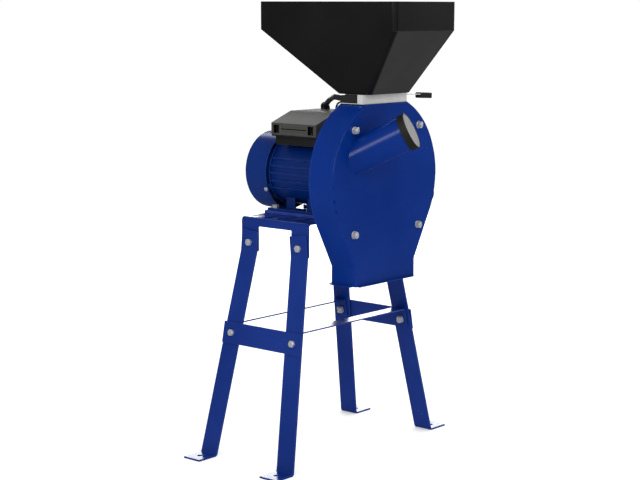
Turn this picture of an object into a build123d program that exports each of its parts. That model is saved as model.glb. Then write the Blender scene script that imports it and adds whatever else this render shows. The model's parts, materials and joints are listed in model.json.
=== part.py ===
from build123d import *
import os
from math import acos, asin, atan, atan2, cos, degrees, hypot, pi, radians, sin, sqrt, tan

os.makedirs("parts", exist_ok=True)

# Frame: +Z up from the floor, the grinding drum's cover faces -Y, the motor stands behind it at +Y.
# The origin is on the floor, midway between the four foot holes. Millimetres.

# ---- stand ----
table_height = 500.0  # top of the table
table_length = 286.0  # along X, over the folded ends
table_depth = 187.0  # along Y
table_sheet = 2.5
apron_depth = 70.0  # folded end, table top to tab end
lintel_depth = 18.0  # folded end over the gap between its tabs
tab_width = 48.0
bar_width = 45.0  # flat bar of the legs
bar_sheet = 4.0
leg_drop = 27.0  # table top down to the leg tops
top_bolt_drop = 52.5
top_bolt_edge = 25.0  # table edge to the top bolts
leg_spread = 90.5  # how far a leg leans out before its foot
foot_step = 14.5  # middle of a foot beyond the table edge
foot_length = 50.0
foot_hole = 5.0  # radius
brace_share = 0.515  # brace bolts, as a share of the table height
brace_width = 45.0
brace_sheet = 3.0
strip_width = 30.0
strip_sheet = 3.0
strip_rise = 24.0  # top of a strip over the brace bolts
bolt_radius = 4.0
bolt_play = 0.2
bolt_head = 5.3
nut_height = 6.5
bolt_flats = 13.0
slot_rows = 4

# ---- motor ----
axis_x = 8.0
rail_sheet = 6.0
rail_width = 35.0
shaft_height = 80.0  # motor axis over the rails
foot_sheet = 6.0
frame_wall = 3.0
fin_sheet = 3.0
fin_pitch = 12.4  # degrees
fin_count = 5  # on each side
frame_length = 168.0
cowl_length = 64.0
cowl_sheet = 1.5
shaft_radius = 9.5
bearing_bore = 10.0
bearing_radius = 23.5
bearing_width = 14.0
air_gap = 0.4

# ---- grinding drum ----
drum_radius = 170.0
drum_depth = 65.0
drum_gap = 15.5  # table edge to the drum's back
drum_sheet = 2.0
cover_skirt = 8.0  # the cover's edge, folded back
fold_radius = 4.0
back_sheet = 3.0
flat_drop = 15.0  # how much the flat top cuts off the circle
spout_half = 97.5
spout_knee = 6.0  # spout corners under the circle
spout_length = 38.0
spout_lip = 9.0
lip_sheet = 1.5
stud_share = 0.6188  # cover studs in X and in Z, as a share of the drum radius
sieve_sheet = 1.2
disc_sheet = 4.0
pin_radius = 5.0
pin_share = 0.64  # hammer pins, as a share of the hammers' reach
hammer_width = 36.0
hammer_sheet = 6.0
hammer_head = 14.0  # pin to the upper end
swing_play = 0.08

# ---- cob inlet ----
cob_radius = 35.0
cob_wall = 2.5
cob_length = 115.0
cap_skirt = 14.5
cap_wall = 2.5
cap_play = 0.3

# ---- gate and hopper ----
gate_rise = 19.0
gate_sheet = 1.5
throat_length = 88.0
gate_plate_sheet = 2.0
slide_play = 0.3
tongue_length = 112.0
hopper_bottom_length = 136.0
hopper_top_length = 201.0
hopper_top_depth = 360.0
hopper_overhang = 97.0  # front of the hopper before the drum's cover
hopper_height = 185.5
hopper_skirt = 57.5
hopper_wall = 3.0
hopper_corner = 10.0

# ---- terminal box ----
box_half = 83.0
box_length = 124.0
box_setback = 31.0  # front of the motor frame to the box
box_cover_height = 47.0
box_roof_rise = 22.0
box_wall = 2.5
button_radius = 9.0

# ---- leads ----
lead_radius = 6.0
wire_radius = 2.0

# worked out from the sizes above
table_half = table_length / 2
table_edge = table_depth / 2
leg_top = table_height - leg_drop
top_bolt_y = table_edge - top_bolt_edge
top_bolt_z = table_height - top_bolt_drop
brace_z = brace_share * table_height
foot_bend_x = table_half + leg_spread
foot_centre_y = table_edge + foot_step
leg_face = table_half + bar_sheet  # outer face of a leg on its tab
knee_z = table_height - apron_depth - 2
splay = (foot_bend_x - leg_face) / knee_z
splay_angle = atan(splay)
lean = (foot_centre_y - top_bolt_y) / top_bolt_z
leg_half = bar_width / 2 * sqrt(1 + lean * lean)

rail_top = table_height + rail_sheet
axis_z = rail_top + shaft_height
foot_spread = shaft_height - 17.5  # motor bolts each side of the axis
frame_radius = shaft_height - 10
fin_radius = frame_radius + 6
cowl_radius = shaft_height + 4
slot_start = foot_spread - axis_x - 14.5
slot_length = table_half - 13 - slot_start

drum_rear_y = -(table_edge + drum_gap)
cover_front_y = drum_rear_y - drum_depth
cover_rear_y = cover_front_y + drum_sheet
back_front_y = drum_rear_y - back_sheet
drum_middle_y = (cover_front_y + drum_rear_y) / 2
rim_depth = back_front_y - cover_rear_y
skirt_rear_y = cover_front_y + cover_skirt
band_depth = back_front_y - skirt_rear_y
flat_rise = drum_radius - flat_drop
flat_z = axis_z + flat_rise
spout_knee_z = axis_z - drum_radius - spout_knee
spout_z = spout_knee_z - spout_length
stud_offset = stud_share * drum_radius
sieve_radius = drum_radius - 38
hammer_tip = sieve_radius - 10
pin_circle = pin_share * hammer_tip
disc_radius = pin_circle + 14
cob_x = axis_x - 0.4988 * drum_radius  # where the cob inlet's axis meets the cover
cob_z = axis_z + 0.3294 * drum_radius

frame_front_y = drum_rear_y + 25
frame_rear_y = frame_front_y + frame_length
frame_middle_y = (frame_front_y + frame_rear_y) / 2
slot_rear_y = min(table_edge - 16, frame_rear_y - 6.5)
slot_pitch = (slot_rear_y + table_edge - 48) / (slot_rows - 1)
slot_centre_y = slot_rear_y - slot_pitch * (slot_rows - 1) / 2
cowl_front_y = frame_rear_y + 2
cowl_rear_y = cowl_front_y + cowl_length
cowl_bore = cowl_radius - cowl_sheet

gate_front_y = cover_front_y + 4
gate_rear_y = drum_rear_y - 1
gate_depth = gate_rear_y - gate_front_y
gate_width = gate_depth - 10
throat_width = gate_depth - 16
throat_x = axis_x
throat_y = (gate_front_y + gate_rear_y) / 2
gate_left_x = axis_x - 58
gate_right_x = axis_x + 70
gate_top_z = flat_z + gate_rise
gate_z = gate_top_z - 5  # middle of the sliding plate
hopper_bottom_depth = gate_depth + 24.5
hopper_bottom_y = throat_y + 0.75
hopper_top_y = cover_front_y - hopper_overhang + hopper_top_depth / 2
hopper_slope_z = gate_top_z + hopper_height - hopper_skirt

box_left_x = axis_x - box_half
box_right_x = axis_x + box_half
box_front_y = frame_front_y + box_setback
box_rear_y = box_front_y + box_length
box_middle_y = (box_front_y + box_rear_y) / 2
base_low_z = axis_z + frame_radius - 8
base_floor_z = base_low_z + 12
box_split_z = base_low_z + 21
box_top_z = box_split_z + box_cover_height
box_eave_z = box_top_z - box_roof_rise
box_ridge_x = axis_x - 22


def section(y):
    # plane across the motor axis, centred on it, drawn from the rear towards the front
    return Plane(origin=(axis_x, y, axis_z), x_dir=(1, 0, 0), z_dir=(0, -1, 0))


def across(y):
    # the same direction, measured from the origin of the model
    return Plane(origin=(0, y, 0), x_dir=(1, 0, 0), z_dir=(0, -1, 0))


def leg_x(z):
    # outer face of a splayed leg
    return leg_face + splay * (knee_z - z)


def leg_y(z):
    # middle of a leg
    return top_bolt_y + lean * (top_bolt_z - z)


def brace_plane(x_side, y_side, depth=0.0):
    # on the splayed outer face of a leg at its brace bolt, facing out; depth goes into the leg
    out = Vector(x_side * cos(splay_angle), 0, sin(splay_angle))
    spot = Vector(x_side * leg_x(brace_z), y_side * leg_y(brace_z), brace_z) - out * depth
    return Plane(origin=spot, x_dir=(0, 1, 0), z_dir=out)


def save(solid, name):
    solid.part.label = name
    export_step(solid.part, f"parts/{name}.step")


# ================= stand =================

with BuildPart() as stand_top:
    with BuildSketch(Plane.XZ):
        with BuildLine():
            apron_end = table_height - apron_depth
            FilletPolyline(
                (table_half, apron_end),
                (table_half, table_height),
                (-table_half, table_height),
                (-table_half, apron_end),
                radius=8,
            )
            offset(amount=table_sheet, side=Side.LEFT)
        make_face()
    extrude(amount=table_depth / 2, both=True)
    with BuildSketch(Plane.YZ):
        with Locations((0, (table_height - lintel_depth) / 2)):
            Rectangle(table_depth - 2 * tab_width, table_height - lintel_depth)
    extrude(amount=table_length, both=True, mode=Mode.SUBTRACT)
    with BuildSketch(Plane.XY.offset(table_height)):
        with Locations((0, slot_centre_y)):
            with GridLocations(2 * slot_start + slot_length, slot_pitch, 2, slot_rows):
                SlotOverall(slot_length, 9)
    extrude(amount=-table_sheet, mode=Mode.SUBTRACT)
    with BuildSketch(Plane.YZ):
        with Locations((top_bolt_y, top_bolt_z), (-top_bolt_y, top_bolt_z)):
            Circle(bolt_radius + bolt_play)
    extrude(amount=table_length, both=True, mode=Mode.SUBTRACT)
save(stand_top, "stand_top")


def make_leg(x_side, y_side):
    # a flat bar: upright on its tab, splayed below it, and turned out into a foot
    turn = Side.RIGHT if x_side > 0 else Side.LEFT
    with BuildPart() as leg:
        with BuildSketch(Plane.XZ):
            with BuildLine():
                FilletPolyline(
                    (x_side * leg_face, leg_top + 4),
                    (x_side * leg_face, knee_z),
                    (x_side * leg_x(bar_sheet), bar_sheet),
                    (x_side * (foot_bend_x + foot_length), bar_sheet),
                    radius=3,
                )
                offset(amount=bar_sheet, side=turn)
            make_face()
        extrude(amount=table_depth, both=True)
        with BuildSketch(Plane.YZ):
            with BuildLine():
                inner_top = leg_top - lean * leg_half
                outer_top = leg_top + lean * leg_half
                Polyline(
                    (y_side * (leg_y(0) - leg_half), -1),
                    (y_side * (leg_y(inner_top) - leg_half), inner_top),
                    (y_side * (leg_y(outer_top) + leg_half), outer_top),
                    (y_side * (leg_y(0) + leg_half), -1),
                    close=True,
                )
            make_face()
        extrude(amount=x_side * (foot_bend_x + foot_length + 5), mode=Mode.INTERSECT)
        with BuildSketch(Plane.YZ):
            with Locations((y_side * top_bolt_y, top_bolt_z)):
                Circle(bolt_radius + bolt_play)
        extrude(amount=x_side * (leg_face + 1), mode=Mode.SUBTRACT)
        with BuildSketch(brace_plane(x_side, y_side, -1)):
            Circle(bolt_radius + bolt_play)
        extrude(amount=-(bar_sheet + 2), mode=Mode.SUBTRACT)
        with BuildSketch(Plane.XY):
            with Locations((x_side * (foot_bend_x + foot_length / 2), y_side * foot_centre_y)):
                Circle(foot_hole)
        extrude(amount=bar_sheet, mode=Mode.SUBTRACT)
    return leg


for x_side, x_word in ((-1, "left"), (1, "right")):
    for y_side, y_word in ((-1, "front"), (1, "rear")):
        save(make_leg(x_side, y_side), f"leg_{y_word}_{x_word}")

with BuildPart() as end_braces:
    for x_side in (-1, 1):
        with BuildSketch(brace_plane(x_side, 0)):
            Rectangle(2 * (leg_y(brace_z) + leg_half + 1.5), brace_width)
        extrude(amount=brace_sheet)
        for y_side in (-1, 1):
            with BuildSketch(brace_plane(x_side, y_side)):
                Circle(bolt_radius + bolt_play)
            extrude(amount=brace_sheet, mode=Mode.SUBTRACT)
save(end_braces, "end_braces")


def make_strip(y_side):
    # a flat bar between the two ends of the stand, its ends turned down inside the legs
    def inner(z):
        return leg_x(z) - bar_sheet / cos(splay_angle)

    top = brace_z + strip_rise
    end = brace_z - strip_width / 2
    with BuildPart() as strip:
        with BuildSketch(Plane.XZ.offset(-y_side * leg_y(brace_z))):
            with BuildLine():
                FilletPolyline(
                    (inner(end), end),
                    (inner(top), top),
                    (-inner(top), top),
                    (-inner(end), end),
                    radius=5,
                )
                offset(amount=strip_sheet, side=Side.LEFT)
            make_face()
        extrude(amount=strip_width / 2, both=True)
        for x_side in (-1, 1):
            with BuildSketch(brace_plane(x_side, y_side, bar_sheet - 1)):
                Circle(bolt_radius + bolt_play)
            extrude(amount=-(strip_sheet + 2), mode=Mode.SUBTRACT)
    return strip


save(make_strip(-1), "side_strip_front")
save(make_strip(1), "side_strip_rear")


def make_bolt(plane, grip, tail=3.0):
    # head outside the plane, shank through the grip, ending a little past the nut
    with BuildPart() as bolt:
        with BuildSketch(plane):
            RegularPolygon(bolt_flats / 2, 6, major_radius=False)
        extrude(amount=bolt_head)
        with BuildSketch(plane):
            Circle(bolt_radius)
        extrude(amount=-(grip + nut_height + tail))
    return bolt.part


def make_nut(plane, grip):
    with BuildPart() as nut:
        with BuildSketch(plane.offset(-grip)):
            RegularPolygon(bolt_flats / 2, 6, major_radius=False)
            Circle(bolt_radius, mode=Mode.SUBTRACT)
        extrude(amount=-nut_height)
    return nut.part


def tab_plane(x_side, y_side):
    spot = (x_side * leg_face, y_side * top_bolt_y, top_bolt_z)
    return Plane(origin=spot, x_dir=(0, 1, 0), z_dir=(x_side, 0, 0))


corners = [(x_side, y_side) for x_side in (-1, 1) for y_side in (-1, 1)]
stand_joints = [(tab_plane(*corner), bar_sheet + table_sheet) for corner in corners]
stand_joints += [
    (brace_plane(*corner, -brace_sheet), brace_sheet + bar_sheet + strip_sheet) for corner in corners
]

stand_bolts = [make_bolt(plane, grip) for plane, grip in stand_joints]
with BuildPart() as leg_bolts:
    add(stand_bolts)
save(leg_bolts, "leg_bolts")

stand_nuts = [make_nut(plane, grip) for plane, grip in stand_joints]
with BuildPart() as leg_nuts:
    add(stand_nuts)
save(leg_nuts, "leg_nuts")

# ================= motor =================

rail_length = slot_pitch * (slot_rows - 1) + 33
bolt_rows = (slot_rear_y, slot_rear_y - slot_pitch * (slot_rows - 1))
motor_bolt_spots = [(axis_x + s * foot_spread, y) for s in (-1, 1) for y in bolt_rows]

with BuildPart() as motor_rails:
    with BuildSketch(Plane.XY.offset(table_height)):
        with Locations((axis_x, slot_centre_y)):
            with GridLocations(2 * foot_spread, 1, 2, 1):
                Rectangle(rail_width, rail_length)
        with Locations(*motor_bolt_spots):
            Circle(bolt_radius + bolt_play, mode=Mode.SUBTRACT)
    extrude(amount=rail_sheet)
save(motor_rails, "motor_rails")

foot_half = rail_width / 2
web_x = foot_spread - foot_half
web_height = shaft_height - sqrt((frame_radius - 1) ** 2 - web_x**2)
with BuildPart() as motor_frame:
    with BuildSketch(section(frame_rear_y)):
        Circle(frame_radius)
        for first in (0, 180):
            with PolarLocations(0, fin_count, first - 2 * fin_pitch, 5 * fin_pitch):
                with Locations(((frame_radius + fin_radius) / 2 - 1, 0)):
                    Rectangle(fin_radius - frame_radius + 2, fin_sheet)
    extrude(amount=frame_rear_y - frame_front_y)
    with BuildSketch(Plane.XY.offset(rail_top)):
        with Locations((axis_x, slot_centre_y - 1.5)):
            with GridLocations(2 * foot_spread, 1, 2, 1):
                Rectangle(rail_width, rail_length - 15)
    extrude(amount=foot_sheet)
    for side in (-1, 1):
        with BuildSketch(Plane.XY.offset(rail_top)):
            with Locations((axis_x + side * (web_x + 2.5), slot_centre_y)):
                with GridLocations(1, 60, 1, 2):
                    Rectangle(5, 24)
        extrude(amount=web_height)
    with BuildSketch(Plane.XY.offset(rail_top)):
        with Locations(*motor_bolt_spots):
            Circle(bolt_radius + bolt_play)
    extrude(amount=foot_sheet, mode=Mode.SUBTRACT)
    with BuildSketch(section(frame_rear_y)):
        Circle(frame_radius - frame_wall)
    extrude(amount=frame_rear_y - frame_front_y, mode=Mode.SUBTRACT)
save(motor_frame, "motor_frame")

motor_grip = foot_sheet + rail_sheet + table_sheet
motor_bolt_planes = [Plane(origin=(x, y, rail_top + foot_sheet)) for x, y in motor_bolt_spots]

foot_bolts = [make_bolt(plane, motor_grip) for plane in motor_bolt_planes]
with BuildPart() as motor_bolts:
    add(foot_bolts)
save(motor_bolts, "motor_bolts")

foot_nuts = [make_nut(plane, motor_grip) for plane in motor_bolt_planes]
with BuildPart() as motor_nuts:
    add(foot_nuts)
save(motor_nuts, "motor_nuts")

shield_radius = frame_radius + 4
flange_radius = 60.0
flange_front_y = drum_rear_y
flange_rear_y = drum_rear_y + 8
flange_screw_circle = 50.0
flange_screw_radius = 3.0
flange_screw_end_y = flange_rear_y + 3
bearing_front_y = frame_front_y - bearing_width
bearing_rear_y = frame_rear_y + bearing_width

with BuildPart() as front_end_shield:
    with BuildSketch(section(flange_rear_y)):
        Circle(flange_radius)
    extrude(amount=flange_rear_y - flange_front_y)
    with BuildSketch(section(frame_front_y)):
        Circle(shield_radius)
    extrude(amount=frame_front_y - flange_rear_y - 5)
    with BuildSketch(section(flange_rear_y + 5)):
        Circle(shield_radius - 8)
    extrude(amount=5)
    with BuildSketch(section(frame_front_y)):
        Circle(bearing_radius)
    extrude(amount=bearing_width, mode=Mode.SUBTRACT)
    with BuildSketch(section(frame_front_y)):
        Circle(bearing_bore + 1)
    extrude(amount=frame_front_y - flange_front_y, mode=Mode.SUBTRACT)
    with BuildSketch(section(flange_screw_end_y)):
        with PolarLocations(flange_screw_circle, 4, 45):
            Circle(flange_screw_radius)
    extrude(amount=flange_screw_end_y - flange_front_y, mode=Mode.SUBTRACT)
save(front_end_shield, "front_end_shield")

cowl_screw_angle = 25.0
cowl_screw_y = cowl_front_y + 6
with BuildPart() as rear_end_shield:
    with BuildSketch(section(bearing_rear_y)):
        Circle(shield_radius)
    extrude(amount=bearing_width)
    with BuildSketch(section(cowl_screw_y + 4)):
        with PolarLocations(0, 4, cowl_screw_angle):
            with Locations((shield_radius, 0)):
                Rectangle(2 * (cowl_bore - shield_radius - 0.4), 12)
    extrude(amount=8)
    with BuildSketch(section(bearing_rear_y)):
        Circle(bearing_radius)
    extrude(amount=bearing_width, mode=Mode.SUBTRACT)
save(rear_end_shield, "rear_end_shield")

with BuildPart() as motor_bearings:
    for rear_face in (frame_front_y, bearing_rear_y):
        with BuildSketch(section(rear_face)):
            Circle(bearing_radius)
            Circle(bearing_bore + 0.02, mode=Mode.SUBTRACT)
        extrude(amount=bearing_width)
        for y in (rear_face, rear_face - bearing_width + 1):
            with BuildSketch(section(y)):
                Circle(bearing_radius - 3)
                Circle(bearing_bore + 4, mode=Mode.SUBTRACT)
            extrude(amount=1, mode=Mode.SUBTRACT)
save(motor_bearings, "motor_bearings")

core_half = frame_length / 2 - 34
core_rear_y = frame_middle_y + core_half
stator_radius = frame_radius - frame_wall
rotor_radius = frame_radius - 30
with BuildPart() as stator_core:
    with BuildSketch(section(core_rear_y)):
        Circle(stator_radius)
        Circle(rotor_radius + air_gap, mode=Mode.SUBTRACT)
    extrude(amount=2 * core_half)
save(stator_core, "stator_core")

with BuildPart() as stator_windings:
    for rear_face in (core_rear_y + 22, core_rear_y - 2 * core_half):
        with BuildSketch(section(rear_face)):
            Circle(stator_radius - 5)
            Circle(rotor_radius + 4, mode=Mode.SUBTRACT)
        extrude(amount=22)
    fillet(stator_windings.edges().filter_by(GeomType.CIRCLE), radius=3)
save(stator_windings, "stator_windings")

shaft_core_radius = 12.0
with BuildPart() as rotor_core:
    with BuildSketch(section(core_rear_y)):
        Circle(rotor_radius)
        Circle(shaft_core_radius, mode=Mode.SUBTRACT)
    extrude(amount=2 * core_half)
save(rotor_core, "rotor_core")

disc_rear_y = back_front_y - 5
disc_front_y = cover_rear_y + 5
hub_nose_y = disc_front_y + 7
shaft_front_y = hub_nose_y + 4.5
fan_rear_y = cowl_rear_y - 26
fan_front_y = fan_rear_y - 20
fan_bore = 8.0
hub_bolt_radius = 4.0
with BuildPart() as motor_shaft:
    with BuildSketch(section(fan_rear_y)):
        Circle(fan_bore)
    extrude(amount=fan_rear_y - bearing_rear_y)
    with BuildSketch(section(bearing_rear_y)):
        Circle(bearing_bore)
    extrude(amount=bearing_rear_y - bearing_front_y)
    with BuildSketch(section(frame_rear_y - 2)):
        Circle(shaft_core_radius)
    extrude(amount=frame_rear_y - frame_front_y - 4)
    with BuildSketch(section(bearing_front_y)):
        Circle(shaft_radius)
    extrude(amount=bearing_front_y - shaft_front_y)
    with BuildSketch(section(shaft_front_y + 18)):
        Circle(hub_bolt_radius)
    extrude(amount=18, mode=Mode.SUBTRACT)
    chamfer(motor_shaft.faces().sort_by(Axis.Y)[-1].edges(), length=1)
save(motor_shaft, "motor_shaft")

fan_radius = cowl_bore - 8.5
with BuildPart() as cooling_fan:
    with BuildSketch(section(fan_rear_y - 2)):
        Circle(16)
    extrude(amount=fan_rear_y - 2 - fan_front_y)
    with BuildSketch(section(fan_front_y + 3)):
        Circle(fan_radius)
    extrude(amount=3)
    with BuildSketch(section(fan_rear_y - 2)):
        with PolarLocations((fan_radius + 10) / 2, 7):
            Rectangle(fan_radius - 14, 3)
    extrude(amount=fan_rear_y - 2 - fan_front_y)
    with BuildSketch(section(fan_rear_y)):
        Circle(fan_bore)
    extrude(amount=fan_rear_y - fan_front_y, mode=Mode.SUBTRACT)
save(cooling_fan, "cooling_fan")

with BuildPart() as fan_cowl:
    with BuildSketch(section(cowl_rear_y)):
        Circle(cowl_radius)
    extrude(amount=cowl_rear_y - cowl_front_y)
    fillet(fan_cowl.faces().sort_by(Axis.Y)[-1].edges(), radius=9)
    offset(amount=-cowl_sheet, openings=fan_cowl.faces().sort_by(Axis.Y)[0])
    with BuildSketch(section(cowl_rear_y)):
        for ring in range(1, 5):
            with PolarLocations(4 + 14 * ring, 6 * ring):
                SlotOverall(9, 5, rotation=90)
    extrude(amount=2 * cowl_sheet, mode=Mode.SUBTRACT)
    for turn in range(4):
        angle = radians(cowl_screw_angle + 90 * turn)
        out = Vector(cos(angle), 0, sin(angle))
        spot = Vector(axis_x, cowl_screw_y, axis_z) + out * (cowl_bore - 1)
        with BuildSketch(Plane(origin=spot, z_dir=out)):
            Circle(2.6)
        extrude(amount=cowl_sheet + 2, mode=Mode.SUBTRACT)
save(fan_cowl, "fan_cowl")

with BuildPart() as cowl_screws:
    for turn in range(4):
        angle = radians(cowl_screw_angle + 90 * turn)
        out = Vector(cos(angle), 0, sin(angle))
        seat = Vector(axis_x, cowl_screw_y, axis_z) + out * (cowl_radius + 0.1)
        with BuildSketch(Plane(origin=seat, z_dir=out)):
            Circle(4.5)
        extrude(amount=2.8)
        with BuildSketch(Plane(origin=seat, z_dir=out)):
            Circle(2.4)
        extrude(amount=-(cowl_sheet + 0.1))
save(cowl_screws, "cowl_screws")

# ================= terminal box =================

base_inset = 5.0
box_width = box_right_x - box_left_x
pocket_depth = 8.0
pocket_rows = (box_front_y + 15, box_rear_y - 14)
pocket_floor_z = box_split_z + 3
screw_spots = [(side_x, row) for side_x in (box_left_x + 4.5, box_right_x - 4.5) for row in pocket_rows]

with BuildPart() as terminal_box_base:
    with BuildSketch(Plane.XY.offset(base_low_z)):
        with Locations((axis_x, box_middle_y)):
            RectangleRounded(box_width - 2 * base_inset, box_length - 2 * base_inset, 6)
    extrude(amount=box_split_z - base_low_z)
    with BuildSketch(Plane.XY.offset(box_split_z - 3)):
        with Locations((axis_x, box_middle_y)):
            RectangleRounded(box_width, box_length, 3)
    extrude(amount=3)
    with BuildSketch(Plane.XY.offset(base_floor_z)):
        with Locations((axis_x, box_middle_y)):
            Rectangle(box_width - 2 * base_inset - 24, box_length - 2 * base_inset - 6)
    extrude(amount=box_split_z - base_floor_z, mode=Mode.SUBTRACT)
    with BuildSketch(section(box_rear_y)):
        Circle(frame_radius + 0.05)
    extrude(amount=box_length, mode=Mode.SUBTRACT)
    with BuildSketch(Plane.XY.offset(pocket_floor_z)):
        with Locations(*screw_spots):
            Circle(1.7)
    extrude(amount=-10, mode=Mode.SUBTRACT)
save(terminal_box_base, "terminal_box_base")


def box_outline(inset):
    # corners of the cover's section: upright eaves, a sloped left roof and a flat top
    slope = atan2(box_top_z - box_eave_z, box_ridge_x - box_left_x)
    eave = inset * tan((pi / 2 - slope) / 2)
    ridge = inset * tan(slope / 2)
    return [
        (box_left_x + inset, box_split_z),
        (box_left_x + inset, box_eave_z - eave),
        (box_ridge_x + ridge, box_top_z - inset),
        (box_right_x - 3 - inset / 2, box_top_z - inset),
        (box_right_x - inset, box_top_z - 3 - inset / 2),
        (box_right_x - inset, box_split_z),
    ]


with BuildPart() as terminal_box_cover:
    with BuildSketch(across(box_rear_y)):
        with BuildLine():
            Polyline(*box_outline(0), close=True)
        make_face()
    extrude(amount=box_length)
    with BuildSketch(across(box_rear_y - box_wall)):
        with BuildLine():
            Polyline(*box_outline(box_wall), close=True)
        make_face()
    extrude(amount=box_length - 2 * box_wall, mode=Mode.SUBTRACT)
    for side_x, inward in ((box_left_x, 1), (box_right_x, -1)):
        with BuildSketch(Plane.XY.offset(box_split_z)):
            for row in pocket_rows:
                with Locations((side_x + inward * (pocket_depth + 3) / 2, row)):
                    Rectangle(pocket_depth + 3, 22)
        extrude(amount=box_eave_z - box_split_z - 1)
        with BuildSketch(Plane.XY.offset(pocket_floor_z)):
            for row in pocket_rows:
                with Locations((side_x + inward * pocket_depth / 2, row)):
                    Rectangle(pocket_depth, 15)
        extrude(amount=box_eave_z - pocket_floor_z - 4, mode=Mode.SUBTRACT)
    panel_low = box_split_z + 4
    panel_high = box_eave_z - 4
    panel_length = pocket_rows[1] - pocket_rows[0] - 22
    with BuildSketch(Plane(origin=(box_left_x, box_middle_y, 0), x_dir=(0, -1, 0), z_dir=(-1, 0, 0))):
        with Locations((0, (panel_low + panel_high) / 2)):
            Rectangle(panel_length, panel_high - panel_low)
    extrude(amount=-0.7, mode=Mode.SUBTRACT)
    with BuildSketch(Plane(origin=(box_left_x, box_middle_y, 0), x_dir=(0, -1, 0), z_dir=(-1, 0, 0))):
        with Locations((0, (panel_low + panel_high) / 2)):
            Rectangle(panel_length, 2)
    extrude(amount=-1.9, mode=Mode.SUBTRACT)
    with BuildSketch(Plane.XY.offset(pocket_floor_z)):
        with Locations(*screw_spots):
            Circle(1.7)
    extrude(amount=-(pocket_floor_z - box_split_z), mode=Mode.SUBTRACT)
save(terminal_box_cover, "terminal_box_cover")

with BuildPart() as box_screws:
    with BuildSketch(Plane.XY.offset(pocket_floor_z)):
        with Locations(*screw_spots):
            Circle(3.4)
    extrude(amount=2.6)
    with BuildSketch(Plane.XY.offset(pocket_floor_z)):
        with Locations(*screw_spots):
            Circle(1.6)
    extrude(amount=-9)
save(box_screws, "box_screws")

board_x = axis_x - 40
board_y = box_middle_y - 5
terminal_spots = [(board_x + x, board_y + y) for x in (-6, 6) for y in (-20, 0, 20)]
with BuildPart() as terminal_board:
    with BuildSketch(Plane.XY.offset(base_floor_z)):
        with Locations((board_x, board_y)):
            RectangleRounded(30, 64, 3)
        with Locations(*terminal_spots):
            Circle(2, mode=Mode.SUBTRACT)
    extrude(amount=8)
save(terminal_board, "terminal_board")

with BuildPart() as terminal_studs:
    with BuildSketch(Plane.XY.offset(base_floor_z)):
        with Locations(*terminal_spots):
            Circle(2)
    extrude(amount=18)
    with BuildSketch(Plane.XY.offset(base_floor_z + 8)):
        with Locations(*terminal_spots):
            RegularPolygon(3.5, 6, major_radius=False)
    extrude(amount=3.2)
save(terminal_studs, "terminal_studs")

with BuildPart() as capacitors:
    with BuildSketch(across(box_middle_y + 39)):
        with Locations((axis_x + 2, base_floor_z + 17), (axis_x + 42, base_floor_z + 17)):
            Circle(17)
    extrude(amount=78)
    fillet(capacitors.edges().filter_by(GeomType.CIRCLE), radius=2)
save(capacitors, "capacitors")

switch_depth = 12.0
switch_y = box_middle_y - 3
switch_z = box_split_z + 23
button_pitch = 24.0
button_press = 2.5
button_out = 5.0
button_floor = 2 + button_press + 0.5
switch_plane = Plane(origin=(box_right_x, switch_y, switch_z), x_dir=(0, 1, 0), z_dir=(1, 0, 0))
with BuildPart() as switch_body:
    with BuildSketch(switch_plane):
        RectangleRounded(58, 32, 4)
    extrude(amount=switch_depth)
    fillet(switch_body.faces().sort_by(Axis.X)[-1].edges(), radius=1.5)
    with BuildSketch(switch_plane.offset(switch_depth)):
        with GridLocations(button_pitch, 1, 2, 1):
            Circle(button_radius + 0.3)
    extrude(amount=-(switch_depth - 2), mode=Mode.SUBTRACT)
save(switch_body, "switch_body")

for side, name in ((-1, "start_button"), (1, "stop_button")):
    face = switch_plane.offset(button_floor)
    with BuildPart() as button:
        with BuildSketch(face):
            with Locations((side * button_pitch / 2, 0)):
                Circle(button_radius)
        extrude(amount=switch_depth + button_out - button_floor)
        fillet(button.faces().sort_by(Axis.X)[-1].edges(), radius=1.2)
    save(button, name)

# ================= grinding drum =================

chord_angle = degrees(asin(flat_rise / drum_radius))
knee = Vector(spout_half, spout_knee_z - axis_z)
tangent_angle = degrees(atan2(knee.Y, knee.X) + acos(drum_radius / hypot(knee.X, knee.Y)))


# a circle cut flat on top, running down in two tangents to a square spout
with BuildSketch() as drum_outline:
    with BuildLine():
        right_arc = CenterArc((0, 0), drum_radius, chord_angle, tangent_angle - chord_angle)
        left_arc = CenterArc((0, 0), drum_radius, 180 - tangent_angle, tangent_angle - chord_angle)
        Line(right_arc @ 0, left_arc @ 1)
        Polyline(
            right_arc @ 1,
            (spout_half, knee.Y),
            (spout_half, spout_z - axis_z),
            (-spout_half, spout_z - axis_z),
            (-spout_half, knee.Y),
            left_arc @ 0,
        )
    make_face()

stud_spots = [(x * stud_offset, z * stud_offset) for x in (-1, 1) for z in (-1, 1)]
flange_screw_head = flange_screw_radius + back_sheet

with BuildPart() as housing_back:
    with BuildSketch(section(drum_rear_y)):
        add(drum_outline.sketch)
        Circle(bearing_bore + 3, mode=Mode.SUBTRACT)
    extrude(amount=back_sheet)
    with Locations(section(back_front_y)):
        with PolarLocations(flange_screw_circle, 4, 45):
            CounterSinkHole(flange_screw_radius, flange_screw_head, depth=back_sheet, counter_sink_angle=90)
    with BuildSketch(Plane.XY.offset(spout_z)):
        with Locations((axis_x, drum_rear_y + spout_lip / 2)):
            Rectangle(2 * spout_half, spout_lip)
    extrude(amount=lip_sheet)
save(housing_back, "housing_back")

with BuildPart() as flange_screws:
    under = (Align.CENTER, Align.CENTER, Align.MAX)
    with Locations(section(back_front_y)):
        with PolarLocations(flange_screw_circle, 4, 45):
            Cone(flange_screw_radius, flange_screw_head, back_sheet, align=under)
            Cylinder(flange_screw_radius, flange_screw_end_y - back_front_y, align=under)
save(flange_screws, "flange_screws")

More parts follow.
